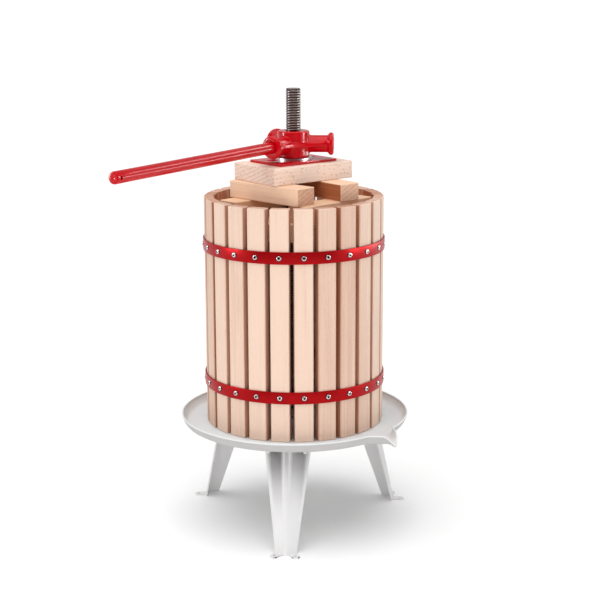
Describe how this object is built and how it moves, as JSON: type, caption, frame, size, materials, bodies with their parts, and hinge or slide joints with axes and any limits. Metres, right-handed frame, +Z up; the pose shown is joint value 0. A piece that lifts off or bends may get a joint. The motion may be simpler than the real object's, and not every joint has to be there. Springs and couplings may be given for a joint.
{
  "type": "basket fruit press",
  "caption": "Hand cranked fruit press: slatted wooden basket in a steel juice tray on three legs, centre screw, socketed hub with a slide-in bar, and wooden pressing blocks.",
  "frame": {"origin": "on the floor, under the axis of the screw", "axes": "+Z up along the screw; +X to the right and -Y towards the viewer of the picture, who faces the front leg"},
  "size_m": [0.4358, 0.5576, 0.705],
  "materials": {
    "stave_beech": "planed and unvarnished",
    "block_beech": "planed and unvarnished",
    "pale_beech": "planed and unvarnished",
    "red_paint": "gloss enamel",
    "red_casting": "gloss enamel",
    "red_bar": "gloss enamel",
    "white_coat": "satin enamel",
    "screw_steel": "oiled rolled thread",
    "bright_steel": "zinc plated"
  },
  "bodies": {
    "stand": {"tray": "white_coat", "leg_front": "white_coat", "leg_right": "white_coat", "leg_left": "white_coat", "leg_bolts": "bright_steel", "leg_nuts": "bright_steel", "screw": "screw_steel", "fixing_washer": "bright_steel", "upper_fixing_nut": "bright_steel", "tray_disc": "white_coat", "lower_fixing_nut": "bright_steel"},
    "basket": {"stave_01": "stave_beech", "stave_02": "stave_beech", "stave_03": "stave_beech", "stave_04": "stave_beech", "stave_05": "stave_beech", "stave_06": "stave_beech", "stave_07": "stave_beech", "stave_08": "stave_beech", "stave_09": "stave_beech", "stave_10": "stave_beech", "stave_11": "stave_beech", "stave_12": "stave_beech", "stave_13": "stave_beech", "stave_14": "stave_beech", "stave_15": "stave_beech", "stave_16": "stave_beech", "stave_17": "stave_beech", "stave_18": "stave_beech", "stave_19": "stave_beech", "stave_20": "stave_beech", "stave_21": "stave_beech", "stave_22": "stave_beech", "stave_23": "stave_beech", "stave_24": "stave_beech", "upper_hoop": "red_paint", "lower_hoop": "red_paint", "upper_hoop_screws": "bright_steel", "lower_hoop_screws": "bright_steel"},
    "press_stack": {"thrust_ring": "bright_steel", "pressure_plate": "red_paint", "top_block": "pale_beech", "mid_block_left": "block_beech", "mid_block_right": "block_beech", "low_block_left": "block_beech", "low_block_right": "block_beech", "press_board_left": "block_beech", "press_board_right": "block_beech"},
    "hub": {"hub": "red_casting"},
    "handle": {"bar": "red_bar"}
  },
  "joints": [
    {"name": "press_travel", "type": "slide", "parent": "stand", "child": "press_stack", "axis": [0, 0, 1], "range_m": [-0.0641, 0.0641]},
    {"name": "hub_spin", "type": "hinge", "parent": "press_stack", "child": "hub", "pos_m": [0, 0, 0.597], "axis": [0, 0, 1], "range_deg": [-5760, 5760]},
    {"name": "handle_slide", "type": "slide", "parent": "hub", "child": "handle", "axis": [-0.5505, -0.8348, 0], "range_m": [0, 0.035]},
    {"name": "basket_turn", "type": "hinge", "parent": "stand", "child": "basket", "pos_m": [0, 0, 0.17], "axis": [0, 0, 1], "continuous": true}
  ],
  "couplings": [
    {"joint": "press_travel", "follows": "hub_spin", "m_per_rad": 0.00063662}
  ]
}
